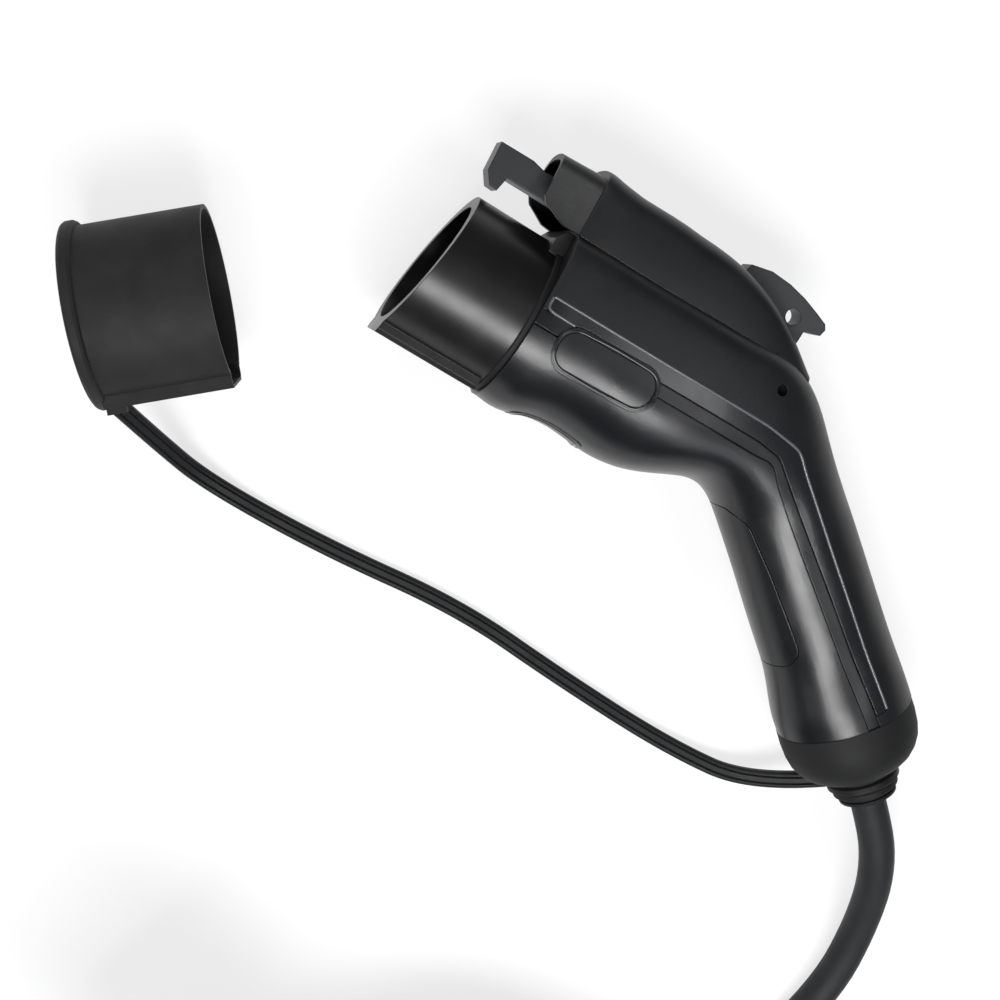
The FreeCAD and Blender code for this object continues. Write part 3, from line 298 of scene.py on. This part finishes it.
# Radii of the beads, and how far the side pads' beads stand off from their rims
PAD_BEAD, TRIM_EDGE, TRIM_FRONT, UNDERSIDE_BEAD = 0.00042, 0.00040, 0.00045, 0.00040
PAD_BEAD_GAP = 0.0007


def length_of(points):
    return sum((b - a).length for a, b in zip(points, points[1:]))


def rim_edges(obj, outward):
    """The edges between a piece's outer face and its walls, with each wall's direction."""
    bm = bmesh.new()
    bm.from_mesh(obj.data)
    bmesh.ops.remove_doubles(bm, verts=bm.verts, dist=SAME_PLACE)
    bm.normal_update()
    found = []
    for edge in bm.edges:
        if len(edge.link_faces) != 2:
            continue
        near, far = sorted(edge.link_faces, key=lambda f: -f.normal.dot(outward))
        if near.normal.dot(outward) > OUTER_FACING and far.normal.dot(outward) < WALL_FACING:
            found.append(([v.co.copy() for v in edge.verts], far.normal.copy()))
    bm.free()
    return found


def longest_chain(edges):
    """The longest of the lines that the edges make when they are joined end to end."""
    def key_of(place):
        return tuple(round(c, 6) for c in place)

    at_end = {}
    for edge in edges:
        for place in edge:
            at_end.setdefault(key_of(place), []).append(edge)
    left = {id(edge): edge for edge in edges}
    lines = []
    while left:
        line = list(left.popitem()[1])
        for _ in range(2):
            while True:
                after = [e for e in at_end[key_of(line[-1])] if id(e) in left]
                if not after:
                    break
                a, b = left.pop(id(after[0]))
                line.append(b if (a - line[-1]).length < 2 * SAME_PLACE else a)
            line.reverse()
        lines.append(line)
    return max(lines, key=length_of)


def even(line):
    """The line's points spaced evenly, with its small corners rounded."""
    places = [line[0]]
    for b in line[1:]:
        while (b - places[-1]).length > BEAD_STEP:
            places.append(places[-1] + (b - places[-1]).normalized() * BEAD_STEP)
    closed = (line[0] - line[-1]).length < 2 * BEAD_STEP
    count = len(places)
    made = []
    for i, place in enumerate(places):
        before = places[i - 1] if closed or i else place
        after = places[(i + 1) % count] if closed or i + 1 < count else place
        made.append((before + place * 2 + after) / 4)
    return made, closed


def grown(line, outward, amount):
    """The closed line moved away from its middle, square to the outward direction."""
    middle = sum(line, Vector()) / len(line)
    made = []
    for place in line:
        away = place - middle
        away -= outward * away.dot(outward)
        made.append(place + away.normalized() * amount)
    return made


def bead(name, line, radius, material):
    """A round bead along a line, ended with flat caps where the line is open."""
    points, closed = even(line)
    data = bpy.data.curves.new(name, "CURVE")
    data.dimensions = "3D"
    run = data.splines.new("POLY")
    run.points.add(len(points) - 1)
    for place, point in zip(run.points, points):
        place.co = (*point, 1.0)
    run.use_cyclic_u = closed
    run.use_smooth = True
    data.bevel_depth = radius
    data.bevel_resolution = 3
    data.use_fill_caps = not closed
    data.materials.append(material)
    obj = add_object(name, data)
    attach(obj, "connector")


def make_beads():
    """Beads round the side pads and the underside pad, and pale edges along the trims, their
    colour a painted highlight.
    """
    for side, outward in (("left", SKYWARD), ("right", -SKYWARD)):
        rim = [e for e, wall in rim_edges(nodes["side_pad_" + side], outward)]
        around = grown(longest_chain(rim), outward, PAD_BEAD_GAP)
        bead("pad_bead_" + side, around, PAD_BEAD, BEAD)
        trim = rim_edges(nodes["side_trim_" + side], outward)
        upper = [e for e, wall in trim if wall.dot(LATCHWARDS) > SIDE_FACING
                 and wall.dot(HANDLEWARDS) < REAR_FACING]
        # The trims' edges take the pale edge material, a painted highlight.
        bead("trim_edge_" + side, longest_chain(upper), TRIM_EDGE, PAINTED_HIGHLIGHT_EDGE)
        front = [e for e, wall in trim if wall.dot(LATCHWARDS) < -SIDE_FACING
                 and max(v.x for v in e) < FRONT_END]
        bead("trim_front_" + side, longest_chain(front), TRIM_FRONT, PAINTED_HIGHLIGHT_EDGE)
    rim = [e for e, wall in rim_edges(nodes["underside_pad"], Vector((0, -1, 0)))]
    bead("underside_bead", longest_chain(rim), UNDERSIDE_BEAD, BEAD)


# The cover's skin: each row has a place along x and how far the ridge drops there, in
# millimetres. The drop fades out from the top's height to the foot's.

COVER_DROP = [
    (29.0, 0.0), (34.0, 1.5), (39.0, 1.7), (44.0, 1.5), (49.0, 1.6), (54.0, 1.9), (59.5, 2.2),
    (64.6, 1.95), (69.8, 1.45), (75.0, 0.9), (80.0, 0.4), (86.0, 0.0), (92.0, 0.0),
]
COVER_FOOT, COVER_TOP = 28.0, 45.0
COVER_CUTS, LONGEST_EDGE = 4, 0.004


def drop_at(x):
    """How far the cover's top sits below its solid at x, on a smooth line through the table."""
    rows = COVER_DROP
    if x <= rows[0][0] or x >= rows[-1][0]:
        return 0.0
    k = max(i for i in range(len(rows) - 1) if rows[i][0] <= x)
    a, b = rows[k], rows[k + 1]
    before, after = rows[max(k - 1, 0)], rows[min(k + 2, len(rows) - 1)]
    span = b[0] - a[0]
    slope_a = (b[1] - before[1]) / (b[0] - before[0]) * span
    slope_b = (after[1] - a[1]) / (after[0] - a[0]) * span
    t = (x - a[0]) / span
    return ((2 * t**3 - 3 * t**2 + 1) * a[1] + (t**3 - 2 * t**2 + t) * slope_a
            + (3 * t**2 - 2 * t**3) * b[1] + (t**3 - t**2) * slope_b)


def make_cover_skin():
    """The cover with its ridge falling in one straight line to its rear curve."""
    bm = bmesh.new()
    bm.from_mesh(nodes["latch_cover"].data)
    bmesh.ops.remove_doubles(bm, verts=bm.verts, dist=SAME_PLACE)
    for _ in range(COVER_CUTS):
        long = [e for e in bm.edges if e.calc_length() > LONGEST_EDGE]
        if not long:
            break
        bmesh.ops.subdivide_edges(bm, edges=long, cuts=1)
        bmesh.ops.triangulate(bm, faces=bm.faces)
    for v in bm.verts:
        rise = (v.co.y / MM - COVER_FOOT) / (COVER_TOP - COVER_FOOT)
        v.co.y -= drop_at(v.co.x / MM) * min(max(rise, 0.0), 1.0) * MM
    obj = add_mesh("latch_cover_skin", bm)
    smooth(obj)
    dress(obj, MATERIALS["matte_plastic"])
    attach(obj, "connector")
    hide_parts("latch_cover")


# The floor of the blind hole behind the cover: its rings' radii and heights, in millimetres

RECESS_CENTRE = (97.8, 19.2)
RECESS_RINGS = ((1.5, 17.9), (1.45, 17.45), (1.1, 17.3), (0.5, 17.26))
RECESS_SIDES = 24


def make_recess_floor():
    """A dished floor in the blind hole, near-black: painted shade."""
    bm = bmesh.new()
    x, y = RECESS_CENTRE
    rings = []
    for radius, level in RECESS_RINGS:
        ring = []
        for i in range(RECESS_SIDES):
            a = math.tau * i / RECESS_SIDES
            place = Vector((x + radius * math.cos(a), y + radius * math.sin(a), level))
            ring.append(bm.verts.new(place * MM))
        rings.append(ring)
    join_rings(bm, rings)
    bm.faces.new(rings[-1])
    obj = add_mesh("recess_floor", bm)
    dress(obj, PAINTED_SHADE)
    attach(obj, "connector")


# Cords: their routes are in millimetres

CABLE_ROUTE = [
    (174.0, -50.8, 0.0), (197.3, -70.5, 0.0), (209.6, -84.4, -3.0), (219.4, -102.1, -12.0),
    (224.5, -126.6, -18.0), (214.5, -163.0, -18.7), (219.5, -191.0, -18.7),
    (223.5, -227.0, -18.7),
]
TAIL_ROUTE = [
    (190.0, -181.3, 14.2), (233.0, -184.5, 18.0), (261.4, -206.7, 25.0), (268.9, -241.9, 33.0),
    (252.0, -273.7, 41.0), (218.6, -287.2, 47.0), (184.5, -276.1, 47.0),
]
CABLE_RADIUS = 5.3
COIL_CENTRE = (147.0, -260.0)
COIL_OUTER, COIL_PITCH, COIL_LOW = 77.2, 10.8, -18.7
COIL_LAYERS = 4
# Degrees: a layer's turns, the climb to the next layer, and the step between two points
LAYER_TURN, CLIMB_TURN, COIL_STEP = 1035.0, 30.0, 22.5
STRAP_ROUTE = [
    (-50.0, -73.5, 1.4), (-36.9, -77.7, -10.0), (-18.6, -82.5, -22.4), (20.1, -82.4, -22.4),
    (62.1, -78.9, -22.4), (100.1, -82.6, -22.4), (139.7, -84.9, -22.2), (167.1, -82.2, -17.5),
    (183.7, -67.4, -8.2),
]
STRAP_WIDTH, STRAP_THICKNESS = 5.0, 3.2
STRAP_CORNER, CORNER_STEPS = 0.9, 4
GROOVE_PLACE, GROOVE_HALF, GROOVE_DEPTH = 1.0, 0.35, 0.4
# Steps of a curve between two of its points
CABLE_STEPS, MEASURE_STEPS, STRAP_STEPS = 6, 8, 14


def at(points):
    return [Vector(p) * MM for p in points]


def spline(name, points, radius, steps):
    """A smooth open curve that has the points as its control points."""
    data = bpy.data.curves.new(name, "CURVE")
    data.dimensions = "3D"
    data.resolution_u = steps
    line = data.splines.new("NURBS")
    line.points.add(len(points) - 1)
    for place, point in zip(line.points, points):
        place.co = (*point, 1.0)
    line.order_u = 3
    line.use_endpoint_u = True
    line.use_smooth = True
    data.bevel_depth = radius
    data.bevel_resolution = 5
    data.use_fill_caps = bool(radius)
    return add_object(name, data)


def line_of(points, steps):
    """Places along the smooth curve that has the points as its control points."""
    guide = spline("guide", points, 0.0, steps)
    mesh = bpy.data.meshes.new_from_object(guide)
    found = [v.co.copy() for v in mesh.vertices]
    bpy.data.objects.remove(guide)
    bpy.data.meshes.remove(mesh)
    return found


def coil_points():
    """Layers of turns a pitch apart, wound inwards and outwards in turn as the coil rises."""
    points = []
    turned, radius, level, inwards = 0.0, COIL_OUTER, COIL_LOW, True
    count = round(LAYER_TURN / COIL_STEP)
    for _ in range(COIL_LAYERS):
        for i in range(count + 1):
            angle = turned + LAYER_TURN * i / count
            moved = COIL_PITCH * LAYER_TURN / 360.0 * i / count
            points.append((angle, radius - moved if inwards else radius + moved, level))
        radius = points[-1][1]
        turned += LAYER_TURN + CLIMB_TURN
        level += COIL_PITCH
        inwards = not inwards
    made = []
    for angle, r, z in points:
        a = math.radians(-angle)
        made.append((COIL_CENTRE[0] + r * math.cos(a), COIL_CENTRE[1] + r * math.sin(a), z))
    return made


def make_cable():
    """The whole charging cable as one curve: the seen run, the coil and the far plug's end."""
    route = at(CABLE_ROUTE + coil_points() + TAIL_ROUTE)
    cable = spline("charging_cable", route, CABLE_RADIUS * MM, CABLE_STEPS)
    cable.data.materials.append(MATERIALS["cable_sheath"])
    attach(cable, "connector")
    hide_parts("cable", "cable_coil", "cable_tail")
    length = length_of(line_of(route, MEASURE_STEPS))
    print("cable length", round(length, 3), "m in", len(route), "points")


def strap_section():
    """A flat strip's rounded outline, with two shallow grooves along its upper face."""
    top = STRAP_THICKNESS / 2
    half, high = STRAP_WIDTH / 2 - STRAP_CORNER, top - STRAP_CORNER
    corners = ((half, high, 0), (-half, high, 90), (-half, -high, 180), (half, -high, 270))
    points = []
    for cx, cy, start in corners:
        for i in range(CORNER_STEPS + 1):
            a = math.radians(start + 90 * i / CORNER_STEPS)
            points.append((cx + STRAP_CORNER * math.cos(a), cy + STRAP_CORNER * math.sin(a)))
        if start == 0:
            for middle in (GROOVE_PLACE, -GROOVE_PLACE):
                points += [(middle + GROOVE_HALF, top), (middle, top - GROOVE_DEPTH),
                           (middle - GROOVE_HALF, top)]
    return points


def strip(name, line, outline):
    """A closed mesh with the same outline all along a line, its flat side level."""
    bm = bmesh.new()
    rings = []
    for i, place in enumerate(line):
        ahead = (line[min(i + 1, len(line) - 1)] - line[max(i - 1, 0)]).normalized()
        across = SKYWARD.cross(ahead).normalized()
        up = ahead.cross(across)
        rings.append([bm.verts.new(place + across * (u * MM) + up * (v * MM))
                      for u, v in outline])
    join_rings(bm, rings)
    bm.faces.new(rings[0][::-1])
    bm.faces.new(rings[-1])
    bmesh.ops.recalc_face_normals(bm, faces=bm.faces)
    obj = add_mesh(name, bm)
    smooth(obj, STRAP_SHARP_ANGLE)
    return obj


def make_strap():
    """The dust cap's strap, from its ring under the gland nut to the cap."""
    line = line_of(at(STRAP_ROUTE[::-1]), STRAP_STEPS)
    strap = strip("cap_strap_strip", line, strap_section())
    strap.data.materials.append(STRAP)
    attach(strap, "connector")
    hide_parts("cap_strap")
    print("strap length", round(length_of(line), 4))


make_cable()
make_strap()
make_beads()
make_recess_floor()
make_cover_skin()


# Floor, world and lamps

FLOOR_SIZE = 40.0
PAPER_SCALE = 400.0
PAPER_DARK, PAPER_PALE = (0.90, 0.90, 0.90), (0.93, 0.93, 0.93)
GLOW_SHARE = 0.72
WORLD_COLOUR, WORLD_STRENGTH = (0.95, 0.97, 1.0), 0.10
LAMPS = (
    # name, place, target, size, watts, colour
    ("soft_box", (0.12, -0.40, 0.70), (0.08, -0.03, 0.0), (0.50, 0.28), 6.8, WHITE),
    ("side_box", (0.43, 0.12, 0.78), (0.10, -0.02, 0.0), (0.42, 0.22), 0.9, WHITE),
    ("window", (-0.90, 0.90, 1.10), (0.05, -0.05, 0.0), (0.9, 0.5), 11.0, WHITE),
    ("fill", (0.95, -0.75, 0.85), (0.08, -0.08, 0.0), (0.8, 0.6), 3.0, (0.93, 0.96, 1.0)),
    ("low_side", (-0.75, -0.85, 0.55), (0.05, -0.05, 0.0), (0.6, 0.5), 2.0, WHITE),
)


def make_floor():
    """White paper. It glows in part where the camera or a glossy surface looks at it."""
    bm = bmesh.new()
    bmesh.ops.create_grid(bm, x_segments=1, y_segments=1, size=FLOOR_SIZE)
    floor = add_mesh("floor", bm)
    floor.location = (0, 0, FLOOR)
    g = Graph("floor_paper")
    fibre = g.tint(g.noise(PAPER_SCALE, 4.0), PAPER_DARK, PAPER_PALE)
    paper = g.node("BsdfPrincipled", {"Base Color": fibre, "Roughness": 0.9,
                                      "Specular IOR Level": 0.1})
    glow = g.node("Emission", {"Color": (*WHITE, 1), "Strength": 1.0})
    seen = g.node("LightPath")
    ray = g.node("Math", {0: seen.outputs["Is Camera Ray"], 1: seen.outputs["Is Glossy Ray"]},
                 operation="MAXIMUM").outputs[0]
    share = g.node("Math", {0: ray, 1: GLOW_SHARE}, operation="MULTIPLY").outputs[0]
    mixed = g.node("MixShader", {"Fac": share, 1: paper.outputs[0], 2: glow.outputs[0]})
    floor.data.materials.append(g.finish(mixed.outputs[0]))


def make_world():
    """A weak even light that the camera sees as white."""
    world = bpy.data.worlds.new("studio")
    scene.world = world
    world.use_nodes = True
    tree = world.node_tree
    tree.nodes.clear()
    out = tree.nodes.new("ShaderNodeOutputWorld")
    seen = tree.nodes.new("ShaderNodeLightPath")
    mixed = tree.nodes.new("ShaderNodeMixShader")
    tree.links.new(seen.outputs["Is Camera Ray"], mixed.inputs["Fac"])
    for place, colour, strength in ((1, WORLD_COLOUR, WORLD_STRENGTH), (2, WHITE, 1.0)):
        light = tree.nodes.new("ShaderNodeBackground")
        light.inputs["Color"].default_value = (*colour, 1)
        light.inputs["Strength"].default_value = strength
        tree.links.new(light.outputs[0], mixed.inputs[place])
    tree.links.new(mixed.outputs[0], out.inputs["Surface"])


def lamp(name, place, target, size, watts, colour):
    """A rectangular lamp at a place, turned to its target."""
    data = bpy.data.lights.new(name, "AREA")
    data.shape = "RECTANGLE"
    data.size, data.size_y = size
    data.energy = watts
    data.color = colour
    obj = add_object(name, data)
    obj.location = place
    obj.rotation_mode = "QUATERNION"
    obj.rotation_quaternion = (Vector(target) - Vector(place)).to_track_quat("-Z", "Y")


make_floor()
make_world()
for row in LAMPS:
    lamp(*row)
scene.view_settings.view_transform = "Standard"
